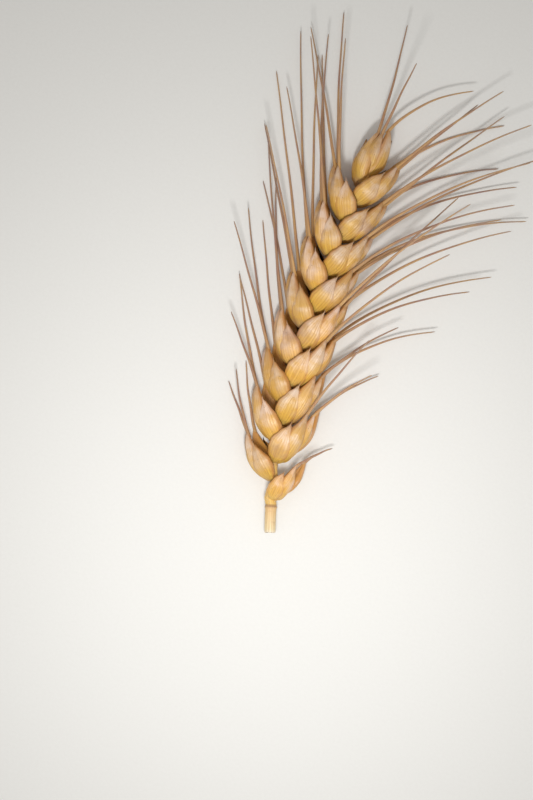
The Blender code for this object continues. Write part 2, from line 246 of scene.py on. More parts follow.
HUSK_MATERIAL, AWN_MATERIAL, HAIR_MATERIAL = 0, 1, 1

# Colours
HUSK_FOOT = (0.82, 0.58, 0.13)
HUSK_LOW = (0.84, 0.52, 0.09)
HUSK_HIGH = (0.79, 0.49, 0.17)
HUSK_NECK = (0.70, 0.45, 0.27)
HUSK_TIP = (0.42, 0.21, 0.10)
HUSK_STREAK = (0.60, 0.32, 0.06)
HUSK_PALE = (0.88, 0.73, 0.64)
HUSK_RIM = (0.56, 0.25, 0.08)
HUSK_NERVE = (0.56, 0.28, 0.06)
HUSK_BLOTCH = (0.42, 0.26, 0.20)
HUSK_SPECK = (0.28, 0.14, 0.07)
# Deep warm orange for the husks' inner faces and margin slits: painted warm shade, not the husk's own
# colour
HUSK_INSIDE_SHADE = (0.66, 0.31, 0.05)
AWN_FOOT = (0.58, 0.35, 0.12)
AWN_LOW = (0.53, 0.30, 0.17)
AWN_MIDDLE = (0.46, 0.27, 0.20)
AWN_TIP = (0.50, 0.36, 0.29)
AWN_STRAW = (0.60, 0.38, 0.18)
AWN_RIB = (0.26, 0.13, 0.10)
STEM_CUT = (0.86, 0.76, 0.58)
STEM_PALE = (0.82, 0.67, 0.40)
STEM_WARM = (0.80, 0.53, 0.24)
STEM_COLLAR = (0.26, 0.12, 0.07)
STEM_GOLD = (0.84, 0.55, 0.15)
STEM_RACHIS = (0.72, 0.44, 0.12)
STEM_STREAK = (0.56, 0.34, 0.15)
STEM_SPOT = (0.44, 0.24, 0.14)
# Dark brown inside the cut stem's bore: painted shade in the hollow
STEM_HOLLOW_SHADE = (0.20, 0.11, 0.06)
HAIR_DULL = (0.72, 0.64, 0.50)
HAIR_PALE = (0.90, 0.86, 0.78)

# Colours along each piece, by the share of its length, and tones that differ from piece to piece
HUSK_BANDS = (
    (0.0, HUSK_FOOT), (0.22, HUSK_LOW), (0.62, HUSK_HIGH), (0.88, HUSK_NECK), (1.0, HUSK_TIP),
)
HUSK_TONES = ((0.0, (0.86, 0.80, 0.70)), (0.5, (1.0, 1.0, 1.0)), (1.0, (1.10, 1.04, 1.08)))
AWN_BANDS = ((0.0, AWN_FOOT), (0.18, AWN_LOW), (0.55, AWN_MIDDLE), (1.0, AWN_TIP))
AWN_TONES = ((0.0, (0.80, 0.74, 0.80)), (1.0, (1.15, 1.12, 1.0)))
STEM_BANDS = (
    (0.0, STEM_CUT), (0.012, STEM_PALE), (0.069, STEM_WARM), (0.076, STEM_COLLAR),
    (0.082, STEM_GOLD), (0.16, STEM_GOLD), (1.0, STEM_RACHIS),
)

# Patterns: how many waves go across and along, noise scales, reliefs (strength and height) and
# roughnesses
HUSK_FLOW = (9.0, 0.9, 37.0)
HUSK_STREAK_SCALE, HUSK_GRAIN_SCALE = 2.2, 9.0
HUSK_NERVE_WAVES = 54.0
RIM_UNEVENNESS = 0.12
PALE_SCALE, BLOTCH_SCALE, SPECK_SCALE = 260.0, 120.0, 2600.0
HUSK_RELIEF, HUSK_SHINE = (0.55, 0.12 * MM), 0.60
AWN_FLOW = (6.0, 29.0)
AWN_PATCH_SCALE = 1.6
AWN_RIB_WAVES = 40.0
AWN_RELIEF, AWN_ROUGHNESS = (0.5, 0.04 * MM), 0.46
STEM_FLOW = (40.0, 14.0)
SPOT_SCALE, HAIR_SCALE = 700.0, 900.0
STEM_RELIEF, STEM_ROUGHNESS = (0.5, 0.08 * MM), 0.42
HAIR_ROUGHNESS = 0.55
CLOUD_SCALE, FIBRE_SCALE = 9.0, 1400.0
PAPER_RELIEF, PAPER_ROUGHNESS = (0.4, 0.05 * MM), 0.75

# The photograph's frame: the cut end's pixel, the scale there and the ear's tilt
PHOTO_SIZE = (533, 800)
CUT_END_PIXEL = (270, 533)
PIXELS_TO_METRE = 4200.0
EAR_TILT = 15.74 * DEG
CAMERA_LENS = 110.0
SENSOR_HEIGHT = 36.0
CLIP_START = 0.01
VIEW_PLANE = 6 * MM

# Lights, placed over pixels of the photograph's frame
KEY_PIXEL = (270, 555)
KEY_TARGET_PIXEL = (285, 520)
KEY_HEIGHT = 0.155
KEY_SIZE = 0.022
KEY_WATTS = 0.152
KEY_COLOUR = (1.0, 0.99, 0.97)
FILL_PIXEL = (225, 590)
FILL_HEIGHT = 0.24
FILL_SIZE = 0.26
FILL_WATTS = 0.085
FILL_COLOUR = (0.99, 0.995, 1.0)
WORLD_COLOUR = (1.0, 0.97, 0.92, 1.0)
WORLD_STRENGTH = 0.43
FLOOR_HALF = 2.0
PAPER_LIGHT = (0.845, 0.845, 0.83)
PAPER_MIDDLE = (0.825, 0.825, 0.81)
PAPER_FIBRE = (0.79, 0.785, 0.77)


def unit(vector):
    return vector / np.linalg.norm(vector)


def mix(low, high, share):
    return low + (high - low) * share


def arc_point(t):
    """Point of the axis, a quadratic curve from the cut end to the rachis's top, at parameter t."""
    side = 2 * t * (1 - t) * SIDE_BOW + t * t * END_SIDE
    along = 2 * t * (1 - t) * BOW_HEIGHT + t * t * AXIS_LENGTH
    return np.array([side, along, FLOOR_TO_AXIS + AXIS_RISE * t])


ARC_T = np.linspace(0, 1, ARC_STEPS + 1)
ARC_POINTS = np.array([arc_point(t) for t in ARC_T])
ARC_LENGTHS = np.concatenate([[0], np.cumsum(np.linalg.norm(np.diff(ARC_POINTS, axis=0), axis=1))])


def axis_frame(length):
    """Place on the axis, with the directions along it, of the right row and of the front."""
    t = np.interp(length, ARC_LENGTHS, ARC_T)
    along = unit(arc_point(t + 1 / ARC_STEPS) - arc_point(t - 1 / ARC_STEPS))
    right = unit(np.cross(along, UP))
    up = np.cross(right, along)
    roll = mix(ROLL_AT_FOOT, ROLL_AT_TIP, t ** ROLL_EASE)
    row = math.cos(roll) * right - math.sin(roll) * up
    front = math.sin(roll) * right + math.cos(roll) * up
    return arc_point(t), along, row, front


def axis_beside(point):
    """Place on the axis, its direction and its right, beside a point of the ear."""
    centre, along, _, _ = axis_frame(np.interp(point[1], ARC_POINTS[:, 1], ARC_LENGTHS))
    return centre, along, unit(np.cross(along, UP))


def turned(direction, towards, angle):
    """The direction, turned by the angle towards another one at right angles to it."""
    return unit(math.cos(angle) * direction + math.sin(angle) * towards)


def across_to(direction, axis):
    """The direction without its share along the axis."""
    return unit(direction - axis * np.dot(direction, axis))


def outline(t, peak, fullness):
    """Share of the full width at t: narrow at the base, full before the middle, thin at the tip."""
    rounded = math.sin(math.pi * t ** peak) ** fullness if 0 < t < 1 else 0.0
    least = mix(BASE_SHARE, TIP_SHARE, t)
    return least + (1 - least) * rounded


def husk_centre(husk, t):
    """Middle of the husk at share t of its length."""
    arch = ARCH_SHARE * husk["length"] * math.sin(math.pi * t)
    return husk["base"] + husk["along"] * husk["length"] * t + husk["dorsal"] * arch


def husk_half_width(husk, t):
    return husk["width"] / 2 * outline(t, WIDTH_PEAK, WIDTH_FULLNESS)


def make_husk(form, spikelet, side=1, wobble=0.0):
    """A husk of the form in its spikelet, at the front (side 1) or at the back (side -1)."""
    scale = spikelet["size"]
    along = turned(spikelet["along"], spikelet["front"], side * form["tilt"] * spikelet["spread"] + wobble)
    along = turned(along, spikelet["out"], form["lean"])
    facing = side * form["facing"]
    dorsal = math.cos(facing) * spikelet["out"] + math.sin(facing) * spikelet["front"]
    ahead, frontwards, outwards = form["foot"]
    base = (
        spikelet["base"]
        + spikelet["along"] * ahead * scale
        + spikelet["front"] * side * frontwards * mix(1.0, spikelet["spread"], FOOT_SPREAD) * scale
        + spikelet["out"] * outwards * scale
    )
    return {
        "kind": form["kind"],
        "base": base,
        "along": along,
        "dorsal": across_to(dorsal, along),
        "length": form["length"] * scale,
        "width": form["width"] * scale,
        "depth": form["depth"] * scale,
    }


def spikelet_husks(spikelet, draw):
    """A short inner stalk, two glumes at the sides, a floret inside each, and on the larger
    spikelets a third floret between and above them."""
    husks = [make_husk(RACHILLA, spikelet)]
    for side, glume, floret in ((1, LOWER_GLUME, LOWER_FLORET), (-1, UPPER_GLUME, UPPER_FLORET)):
        wobble = draw.uniform(-ANGLE_SCATTER, ANGLE_SCATTER)
        husks.append(make_husk(glume, spikelet, side, wobble))
        husks.append(make_husk(floret, spikelet, side, wobble))
    if spikelet["size"] > THREE_FLORETS_FROM:
        wobble = draw.uniform(-ANGLE_SCATTER, ANGLE_SCATTER)
        husks.append(make_husk(TOP_FLORET, spikelet, 1, wobble))
    return husks


def spikelet_size(index):
    """Full size in the middle, smaller in the lowest ones and towards the tip."""
    if index < len(LOWEST_SIZES):
        return LOWEST_SIZES[index]
    beyond = (index - NARROWING_FROM) / (SPIKELETS_IN_ROWS - 1 - NARROWING_FROM)
    return mix(FULL_SIZE, TOP_ROW_SIZE, max(0.0, beyond))


def row_spikelet(index, draw):
    """A spikelet of the two rows. The lowest sits on the right, and they take turns upwards."""
    side = 1 if index % 2 == 0 else -1
    centre, along, row, front = axis_frame(STUB_LENGTH + index * INTERNODE)
    out = side * row
    lean = DIVERGENCE + LOWEST_LEAN * max(0.0, 1 - index / LEANING_OUT)
    lean += draw.uniform(-ANGLE_SCATTER, ANGLE_SCATTER)
    front_lean = draw.uniform(-ANGLE_SCATTER, ANGLE_SCATTER)
    size = spikelet_size(index) * draw.uniform(1 - SIZE_SCATTER, 1 + SIZE_SCATTER)
    direction = turned(turned(along, out, lean), front, front_lean)
    outwards = across_to(out, direction)
    spikelet = {
        "name": f"spikelet_{'right' if side > 0 else 'left'}_{index // 2 + 1:02d}",
        "base": centre + out * SEAT_OFFSET,
        "along": direction,
        "out": outwards,
        "front": across_to(across_to(front, direction), outwards),
        "size": size,
        "spread": 1.0,
        "reaches": RIGHT_REACHES if side > 0 else LEFT_REACHES,
    }
    spikelet["husks"] = spikelet_husks(spikelet, draw)
    return spikelet


def end_spikelet(draw):
    """The spikelet at the tip, a quarter turn from the rows, so that it fans from side to side."""
    centre, along, row, front = axis_frame(ARC_LENGTHS[-1])
    spikelet = {
        "name": "spikelet_terminal",
        "base": centre - along * END_SINK,
        "along": along,
        "out": front,
        "front": -row,
        "size": END_SIZE,
        "spread": END_SPREAD,
        "reaches": RIGHT_REACHES,
    }
    spikelet["husks"] = spikelet_husks(spikelet, draw)
    return spikelet


def above_floor(point):
    """The point, eased up where it would come lower than the least height of an awn."""
    over = point[2] - AWN_FLOOR_GAP
    raised = AWN_FLOOR_GAP + (over + math.sqrt(over * over + FLOOR_EASE * FLOOR_EASE)) / 2
    return np.array([point[0], point[1], raised])


def awn_path(start, first, last, length):
    """Points of an awn that leaves in one direction and curves evenly into another."""
    points = [start]
    for i in range(AWN_STEPS):
        share = ((i + 0.5) / AWN_STEPS) ** BEND_EASE
        points.append(points[-1] + unit(mix(first, last, share)) * length / AWN_STEPS)
    root = np.array([start[0], start[1], max(start[2], AWN_FLOOR_GAP)])
    return np.array([root] + [above_floor(point) for point in points[1:]])


def spheres_of_husk(husk):
    """Pairs of spheres side by side along the husk, about as thick as it is: rows of x, y, z, r."""
    across = np.cross(husk["along"], husk["dorsal"])
    spheres = []
    for t in np.linspace(0, 1, SPHERE_STEPS):
        centre = husk_centre(husk, t) + husk["dorsal"] * husk["depth"] * SPHERE_LIFT
        half_width = husk_half_width(husk, t)
        for side in (1, -1):
            middle = centre + across * side * SPHERE_PLACE * half_width
            spheres.append([*middle, SPHERE_SHARE * half_width])
    return np.array(spheres)


def spheres_of_awn(path):
    """Spheres along the free part of an awn: rows of x, y, z, r."""
    parts = [np.linspace(a, b, SPHERE_STEPS)[:-1] for a, b in zip(path, path[1:])]
    dense = np.concatenate(parts + [path[-1:]])
    radii = np.linspace(AWN_BASE_RADIUS, AWN_TIP_RADIUS, len(dense))
    free = np.linalg.norm(dense - path[0], axis=1) > AWN_FREE_FROM
    return np.column_stack([dense, radii])[free]


def room_between(one, other):
    """The least gap between two sets of spheres."""
    apart = np.linalg.norm(one[:, None, :3] - other[None, :, :3], axis=2)
    return (apart - one[:, None, 3] - other[None, :, 3]).min()


def awn_reach(place, reaches):
    """Length of an awn on the spikelet at that place from below."""
    lowest, longest, topmost = reaches
    if place < LONGEST_PLACE:
        return mix(lowest, longest, (place / LONGEST_PLACE) ** REACH_RISE)
    beyond = (place - LONGEST_PLACE) / (SPIKELETS_IN_ROWS - LONGEST_PLACE)
    return mix(longest, topmost, beyond ** REACH_FALL)


def draw_awn(husk, draw, reach):
    """A drawn awn. It leans away from the ear on the side that its husk's tip is on."""
    root = husk_centre(husk, 1.0) - husk["along"] * AWN_ROOT
    centre, along, right = axis_beside(root)
    sideways, upwards = np.dot(root - centre, right), root[2] - centre[2]
    round_angle = math.atan2(FLATTENING * upwards, sideways) + draw.uniform(-ROUND_SCATTER, ROUND_SCATTER)
    away = math.cos(round_angle) * right + math.sin(round_angle) * UP
    splay = draw.uniform(*(SPLAY_RIGHT if away[0] > 0 else SPLAY_LEFT))
    last = turned(along, away, splay)
    first = unit(husk["along"] + FIRST_BEND * last)
    return awn_path(root, first, last, reach * draw.uniform(*REACH_SCATTER))


def grow_awns(spikelets, draw):
    """Gives every floret an awn that keeps clear of the other spikelets and of their awns."""
    grown = {s["name"]: [] for s in spikelets}
    taken = {s["name"]: [spheres_of_husk(h) for h in s["husks"]] for s in spikelets}
    for place, spikelet in enumerate(spikelets):
        own = spikelet["name"]
        reach = awn_reach(place, spikelet["reaches"])
        others = np.concatenate([spheres for name in taken if name != own for spheres in taken[name]])
        for husk in spikelet["husks"]:
            if husk["kind"] != "floret":
                continue
            best_room, best_path = -1.0, None
            for _ in range(AWN_DRAWS):
                path = draw_awn(husk, draw, reach)
                room = room_between(spheres_of_awn(path), others)
                if room > best_room:
                    best_room, best_path = room, path
                if room > AWN_GAP:
                    break
            if best_room > LEAST_GAP:
                grown[own].append(best_path)
                taken[own].append(spheres_of_awn(best_path))
    return grown


def section_ring(length, shift, half_width, half_thickness):
    centre, _, row, front = axis_frame(length)
    ring = []
    for i in range(STEM_SIDES):
        angle = 2 * math.pi * (i + 0.5) / STEM_SIDES
        across = half_thickness * math.cos(angle) + shift
        ring.append(centre + row * across + front * half_width * math.sin(angle))
    return ring


# Fine surfaces


class Surface:
    """Points, shading values and faces of one piece, gathered from its parts."""

    def __init__(self):
        self.points, self.shades, self.faces, self.materials = [], [], [], []
        self.count = 0

    def add_points(self, points, shades):
        start = self.count
        self.points.append(points.reshape(-1, 3))
        self.shades.append(shades.reshape(-1, 4))
        self.count += len(self.points[-1])
        return start

    def add_tube(self, grid, shades, material):
        """A tube through the rows of the grid, closed at both ends."""
        rows, columns, _ = grid.shape
        start = self.add_points(grid, shades)
        i = np.arange(rows - 1)[:, None] * columns
        j = np.arange(columns)[None]
        k = (j + 1) % columns
        quads = np.stack([i + j, i + columns + j, i + columns + k, i + k], axis=-1).reshape(-1, 4) + start
        self.faces += quads.tolist()
        last = start + (rows - 1) * columns
        self.faces += [list(range(start, start + columns)), list(range(last + columns - 1, last - 1, -1))]
        self.materials += [material] * (len(quads) + 2)

    def add_spikes(self, corners, tips, shades, material):
        """Small three-sided spikes: corners has three points for each one, and tips has its point."""
        count = len(tips)
        points = np.concatenate([corners, tips[:, None]], axis=1)
        start = self.add_points(points, np.repeat(shades[:, None], 4, axis=1))
        first = start + 4 * np.arange(count)[:, None]
        for pattern in ((0, 1, 3), (1, 2, 3), (2, 0, 3), (2, 1, 0)):
            self.faces += (first + np.array(pattern)[None]).tolist()
        self.materials += [material] * (4 * count)

    def make(self, name, materials):
        data = bpy.data.meshes.new(name)
        data.from_pydata(np.concatenate(self.points), [], self.faces)
        data.update()
        shade = data.attributes.new("shade", "FLOAT_COLOR", "POINT")
        shade.data.foreach_set("color", np.concatenate(self.shades).astype(np.float32).ravel())
        data.polygons.foreach_set("material_index", np.array(self.materials, np.int32))
        for material in materials:
            data.materials.append(material)
        mesh = bmesh.new()
        mesh.from_mesh(data)
        bmesh.ops.recalc_face_normals(mesh, faces=mesh.faces)
        mesh.to_mesh(data)
        mesh.free()
        data.shade_smooth()
        thing = bpy.data.objects.new(name, data)
        bpy.context.scene.collection.objects.link(thing)
        return thing


def outlines(t, peak, fullness):
    """The outline for many shares at once."""
    least = mix(BASE_SHARE, TIP_SHARE, t)
    rounded = np.sin(np.pi * np.clip(t, 0, 1) ** peak).clip(0) ** fullness
    return least + (1 - least) * rounded


def smooth_step(low, high, values):
    share = np.clip((values - low) / (high - low), 0, 1)
    return share * share * (3 - 2 * share)


def shades_of(t, across, tone, inside):
    """Share along, share across, the husk's own tone, and how far inside the husk it is."""
    grid = np.zeros(across.shape + (4,))
    grid[..., 0] = t
    grid[..., 1] = across
    grid[..., 2] = tone
    grid[..., 3] = inside
    return grid


def place_grid(husk, t, across, height):
    """Points of a husk from shares along it, and distances across it and out of its back."""
    side = np.cross(husk["along"], husk["dorsal"])
    arch = ARCH_SHARE * husk["length"] * np.sin(np.pi * np.clip(t, 0, 1))
    sink = CLAW_SINK * smooth_step(0, -CLAW_SHARE, t)
    return (
        husk["base"]
        + husk["along"] * (husk["length"] * t)[..., None]
        + side * across[..., None]
        + husk["dorsal"] * (arch + height - sink)[..., None]
    )


def shares_along(columns):
    """Shares along a husk, from the point of its claw below the base up to its tip."""
    return np.linspace(-CLAW_SHARE, 1, LONG_STEPS)[:, None] * np.ones((1, columns))


def fine_sizes(husk, t):
    """Half width and depth of a fine husk, with its narrow claw and its sharpened tip."""
    claw = np.sqrt(np.clip(1 + t / CLAW_SHARE, LEAST_CLAW, 1))
    sharp = 1 - TIP_SHARPENING * smooth_step(0.5, 1.0, t)
    half_width = husk["width"] / 2 * outlines(np.clip(t, 0, 1), WIDTH_PEAK, WIDTH_FULLNESS)
    depth = husk["depth"] * outlines(np.clip(t, 0, 1), DEPTH_PEAK, DEPTH_FULLNESS)
    return half_width * claw * sharp, depth * claw


def bell(values, middle, spread):
    """1 at the middle, falling off evenly to both sides."""
    return np.exp(-((values - middle) / spread) ** 2)


def lemma_grid(husk, fine):
    """A lemma closed round its grain: keeled and nerved at the back, with a slit at each margin
    where the two-keeled palea begins."""
    t = shares_along(ROUND_STEPS)
    turn = 2 * np.pi * np.arange(ROUND_STEPS)[None] / ROUND_STEPS
    angle = math.pi / 2 + turn * np.ones((LONG_STEPS, 1))
    u, rise = np.cos(angle), np.sin(angle)
    half_width, depth = fine_sizes(husk, t)
    body = np.sin(np.pi * np.clip(t, 0, 1)).clip(0)
    skew = LEMMA_SKEW * math.sin(7 * fine)
    keel_rise = LEMMA_KEEL_LOW + LEMMA_KEEL_GAIN * smooth_step(0.35, 0.9, t)
    keel = bell(u, skew, LEMMA_KEEL_SPREAD) * keel_rise * KEEL_HEIGHT * body ** 0.3
    waves = np.cos(2 * np.pi * (u - skew) * LEMMA_NERVES)
    nerves = NERVE_HEIGHT * waves * body ** 0.5 * np.clip(rise, 0, 1) ** 0.5
    dimple = bell(t, DIMPLE_ALONG, DIMPLE_ALONG_SPREAD) * bell(np.abs(u), DIMPLE_PLACE, DIMPLE_SPREAD)
    back = depth * np.abs(rise) ** 0.92 + keel + nerves - DIMPLE_DEPTH * dimple
    groove = PALEA_GROOVE * bell(u, 0, PALEA_SPREAD) * body
    front = -depth * INNER_SHARE * np.abs(rise) ** 0.8 + groove
    height = np.where(rise >= 0, back, front)
    slit = bell(rise, SLIT_PLACE, SLIT_SPREAD) * body ** 0.6
    across = half_width * u * (1 - SLIT_NARROWING * slit) + ripples(t, fine, LEMMA_RIPPLE) * np.abs(u)
    height = height + slit * SLIT_DEPTH
    inside = np.maximum(smooth_step(0.0, -0.2, rise), slit)
    return place_grid(husk, t, across, height), shades_of(t, 0.5 + 0.5 * u, fine, inside)


def ripples(t, fine, size):
    """Slow unevenness along a husk's margin."""
    return size * (np.sin(9 * t + 17 * fine) + 0.6 * np.sin(23 * t + 41 * fine))


def glume_grid(husk, fine):
    """A glume: a thin keeled shell that hugs its floret, open at the inner side and at the tip."""
    half = ROUND_STEPS // 2
    turn = np.linspace(-GLUME_WRAP, math.pi + GLUME_WRAP, half)[None] * np.ones((LONG_STEPS, 1))
    t = shares_along(half)
    u, rise = np.cos(turn), np.sin(turn)
    shoulder = bell(t, SHOULDER_ALONG, SHOULDER_ALONG_SPREAD) * smooth_step(0.3, -0.6, u)
    half_width, depth = fine_sizes(husk, t)
    half_width = half_width * (1 + SHOULDER_SWELLING * shoulder)
    body = np.sin(np.pi * np.clip(t, 0, 1)).clip(0)
    keel = bell(u, KEEL_PLACE, GLUME_KEEL_SPREAD) * KEEL_HEIGHT * smooth_step(0.02, 0.5, t)
    nerves = NERVE_HEIGHT * np.cos(2 * np.pi * u * GLUME_NERVES) * body ** 0.5
    flare = TIP_FLARE * smooth_step(0.6, 1.0, t) ** 1.5 + GLUME_LIFT * smooth_step(0.15, 0.6, t)
    height = depth * np.sign(rise) * np.abs(rise) ** 0.8 + keel + nerves * (rise > 0) + flare
    across = half_width * u + ripples(t, fine, GLUME_RIPPLE) * np.abs(u)
    inner_across = across * (1 - GLUME_SKIN / half_width.clip(GLUME_SKIN * 2))
    inner_height = height - GLUME_SKIN * mix(EDGE_SKIN_SHARE, 1, np.abs(rise))
    beak = BEAK_SHARE * bell(u, KEEL_PLACE, BEAK_SPREAD) * smooth_step(0.72, 1.0, t)
    outer = place_grid(husk, t + beak, across, height)
    inner = place_grid(husk, t + beak, inner_across, inner_height)
    grid = np.concatenate([outer, inner[:, ::-1]], axis=1)
    u_all = np.concatenate([u, u[:, ::-1]], axis=1)
    inside = np.concatenate([np.zeros_like(u), np.ones_like(u)], axis=1)
    t_all = np.concatenate([t, t], axis=1)
    return grid, shades_of(t_all, 0.5 + 0.5 * u_all, fine, inside)


def smooth_path(path, steps):
    """Points of an even curve through the points of the path."""
    ends = np.concatenate([[2 * path[0] - path[1]], path, [2 * path[-1] - path[-2]]])
    places = np.linspace(0, len(path) - 1, steps)
    index = np.minimum(places.astype(int), len(path) - 2)
    s = (places - index)[:, None]
    a, b, c, d = (ends[index + k] for k in range(4))
    second, third = 2 * a - 5 * b + 4 * c - d, 3 * b - a - 3 * c + d
    return 0.5 * (2 * b + (c - a) * s + second * s ** 2 + third * s ** 3)


def directions_of(path):
    """Directions along a path, across it and over it at each of its points."""
    along = np.gradient(path, axis=0)
    along /= np.linalg.norm(along, axis=1)[:, None]
    across = np.cross(along, UP)
    across /= np.linalg.norm(across, axis=1)[:, None]
    return along, across, np.cross(across, along)


def add_awn(surface, path, fine):
    """An awn that tapers from a stout foot, ribbed, a little uneven, with barbs on its edges."""
    length = np.linalg.norm(np.diff(path, axis=0), axis=1).sum()
    steps = LEAST_AWN_ROWS + int(length / AWN_ROW_LENGTH)
    line = smooth_path(path, steps)
    s = np.linspace(0, 1, steps)
    along, across, over = directions_of(line)
    sway = np.sin(np.pi * s)[:, None] * AWN_SWAY
    line = line + across * sway * np.sin(11 * s + 50 * fine)[:, None]
    line = line + over * sway * np.cos(8 * s + 31 * fine)[:, None]
    radius = mix(AWN_BASE_RADIUS, FINE_TIP_RADIUS, s ** AWN_TAPER)
    radius[-1] *= AWN_END_SHARE
    angle = 2 * np.pi * np.arange(AWN_ROUND_STEPS) / AWN_ROUND_STEPS
    rib = 1 + AWN_RIB_SHARE * np.cos(3 * (angle - math.pi / 2))
    grid = (
        line[:, None]
        + across[:, None] * (radius[:, None] * np.cos(angle) * rib)[..., None]
        + over[:, None] * (radius[:, None] * np.sin(angle) * rib)[..., None]
    )
    share = s[:, None] * np.ones((1, AWN_ROUND_STEPS))
    shades = shades_of(share, 0.5 + 0.5 * np.cos(angle)[None] * np.ones((steps, 1)), fine, 0.0)
    surface.add_tube(grid, shades, AWN_MATERIAL)
    add_barbs(surface, line, (along, across, over), radius, length, fine)


def add_barbs(surface, line, directions, radius, length, fine):
    """Small barbs that point to the awn's tip, in rows along its three edges."""
    along, across, over = directions
    count = int(length / BARB_SPACING)
    places = np.linspace(BARBS_FROM, BARBS_UNTIL, count) * (len(line) - 1)
    row = np.arange(count) % 3
    turn = math.pi / 2 + 2 * np.pi * row / 3 + 0.3 * np.sin(5.1 * np.arange(count) + 60 * fine)
    index = places.astype(int).clip(0, len(line) - 2)
    part = (places - index)[:, None]
    centre = line[index] * (1 - part) + line[index + 1] * part
    outwards = across[index] * np.cos(turn)[:, None] + over[index] * np.sin(turn)[:, None]
    around = np.cross(along[index], outwards)
    reach = radius[index][:, None]
    root = centre + outwards * reach * BARB_DEPTH_SHARE
    corners = np.stack(
        [
            root - along[index] * BARB_LENGTH / 2,
            root + around * reach * BARB_HALF_WIDTH,
            root - around * reach * BARB_HALF_WIDTH,
        ],
        axis=1,
    )
    tips = root + along[index] * BARB_LENGTH + outwards * BARB_RISE
    shades = np.zeros((count, 4))
    shades[:, 0] = places / (len(line) - 1)
    shades[:, 1] = 0.5
    shades[:, 2] = fine
    surface.add_spikes(corners, tips, shades, AWN_MATERIAL)


def make_fine_spikelet(spikelet, awns, offset, materials, fine_draw):
    """The piece of one spikelet: its shells, its closed florets and its awns."""
    surface = Surface()
    for husk in spikelet["husks"]:
        fine = fine_draw.random()
        moved = {**husk, "base": husk["base"] + offset}
        grid, shades = glume_grid(moved, fine) if husk["kind"] == "glume" else lemma_grid(moved, fine)
        grid[..., 2] = np.maximum(grid[..., 2], FLOOR_SKIN)
        surface.add_tube(grid, shades, HUSK_MATERIAL)
    for path in awns:
        add_awn(surface, path + offset, fine_draw.random())
    thing = surface.make(spikelet["name"] + "_fine", materials)
    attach(thing, "root")
    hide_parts(spikelet["name"])


def stem_shape(length):
    """Sideways shift and half sizes of the stem or the rachis at a length from the cut end."""
    lengths, *sizes = np.array(stem_sections()).T
    shift, half_width, half_thickness = (np.interp(length, lengths, size) for size in sizes)
    stout = STOUT_HALF * (1 - smooth_step(STOUT_UNTIL, STOUT_UNTIL + INTERNODE, length))
    return shift, max(half_width, stout), max(half_thickness, stout)


def stem_sections():
    """Rings of the stub with its collar and of the zigzag rachis: length, shift and half sizes."""
    collar = STEM_RADIUS * COLLAR_SWELLING
    sections = [
        (0.0, 0.0, STEM_RADIUS, STEM_RADIUS),
        (STUB_LENGTH - COLLAR_FROM, 0.0, STEM_RADIUS, STEM_RADIUS),
        (STUB_LENGTH - COLLAR_MIDDLE, 0.0, collar, collar),
        (STUB_LENGTH - COLLAR_UNTIL, 0.0, STEM_RADIUS, STEM_RADIUS * STEM_NARROWING),
    ]
    for index in range(SPIKELETS_IN_ROWS):
        side = 1 if index % 2 == 0 else -1
        shift = -side * RACHIS_ZIGZAG
        place = STUB_LENGTH + index * INTERNODE
        taper = mix(*RACHIS_TAPER, index / SPIKELETS_IN_ROWS)
        wide, thick = RACHIS_HALF_WIDTH * taper, RACHIS_HALF_THICKNESS * taper
        sections.append((place, shift, wide * NODE_SWELLING, thick))
        neck = place + NECK_PLACE * INTERNODE
        sections.append((neck, shift * NECK_SHIFT, wide * NECK_WIDTH, thick))
    sections.append((ARC_LENGTHS[-1] - END_SINK - TOP_END, 0.0, TOP_HALF_WIDTH, TOP_HALF_THICKNESS))
    return sections


def stem_ring(length, shape, scale, ragged):
    """A ribbed ring of the stem. ragged moves its points along, for the torn cut end."""
    shift, half_width, half_thickness = shape
    ring = []
    for i in range(STEM_ROUND_STEPS):
        angle = 2 * math.pi * (i + 0.5) / STEM_ROUND_STEPS
        centre, _, row, front = axis_frame(length + ragged[i])
        rib = scale * (1 + RIB_SHARE * math.cos(STEM_RIBS * angle))
        across = half_thickness * math.cos(angle) * rib + shift
        ring.append(centre + row * across + front * half_width * math.sin(angle) * rib)
    return ring


def make_fine_stem(offset, materials, fine_draw):
    """The stub, hollow and torn at its cut end, its collar and the rachis with hairs at its nodes."""
    surface = Surface()
    top = ARC_LENGTHS[-1] - END_SINK - TOP_END
    stub = np.linspace(0, STUB_LENGTH, STUB_ROWS)
    rachis = np.linspace(STUB_LENGTH, top, RACHIS_ROWS)[1:]
    torn = np.array([fine_draw.uniform(-1, 1) for _ in range(STEM_ROUND_STEPS)])
    torn = TORN_DEPTH * (mix(torn, np.roll(torn, 1), TORN_BLEND) + 1)
    bore_shape = (0.0, STEM_RADIUS, STEM_RADIUS)
    rings, shares = [], []
    for inner_length, scale, torn_share in BORE_RINGS:
        rings.append(stem_ring(inner_length, bore_shape, scale, torn * torn_share))
        shares.append((inner_length, 1.0))
    for length in np.concatenate([stub, rachis]):
        fade = max(0.0, 1 - length / TORN_LENGTH)
        rings.append(stem_ring(length, stem_shape(length), 1.0, torn * fade))
        shares.append((length, 0.0))
    grid = np.array(rings) + offset
    shades = np.zeros(grid.shape[:2] + (4,))
    shades[..., 0] = np.array([length / top for length, _ in shares])[:, None]
    shades[..., 1] = (np.arange(STEM_ROUND_STEPS) / STEM_ROUND_STEPS)[None]
    shades[..., 2] = 0.5
    shades[..., 3] = np.array([inside for _, inside in shares])[:, None]
    surface.add_tube(grid, shades, HUSK_MATERIAL)
    add_hairs(surface, offset, fine_draw)
    thing = surface.make("stem_and_rachis_fine", materials)
    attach(thing, "root")
    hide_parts("stem_and_rachis")


